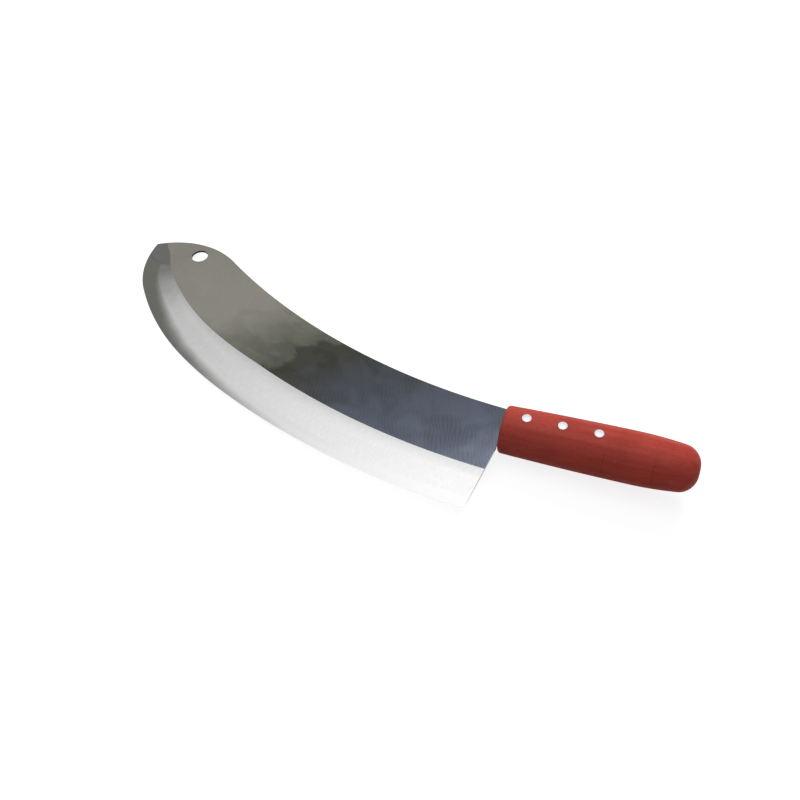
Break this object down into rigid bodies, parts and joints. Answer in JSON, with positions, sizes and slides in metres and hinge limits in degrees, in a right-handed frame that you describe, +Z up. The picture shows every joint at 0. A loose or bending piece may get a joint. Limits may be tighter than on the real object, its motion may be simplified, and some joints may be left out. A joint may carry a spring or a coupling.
{
  "type": "mincing knife",
  "caption": "Large curved mincing knife: broad ground steel blade with a hanging hole and a red-stained wooden handle riveted to its tang.",
  "frame": {"origin": "middle of the ground footprint of the knife as it lies on its side, at the height of its lowest point", "axes": "+X along the knife from the blade's head to the handle's butt, +Y across the blade from the cutting edge to the spine, +Z up, out of the side that shows"},
  "size_m": [0.617, 0.2552, 0.0506],
  "materials": {
    "ground_steel": "ground, with fine scratches across the bevel",
    "red_stained_wood": "satin red stain",
    "polished_aluminium": "polished"
  },
  "bodies": {
    "root": {"blade": "ground_steel", "handle": "red_stained_wood", "rivet_front": "polished_aluminium", "rivet_middle": "polished_aluminium", "rivet_rear": "polished_aluminium"}
  },
  "joints": []
}
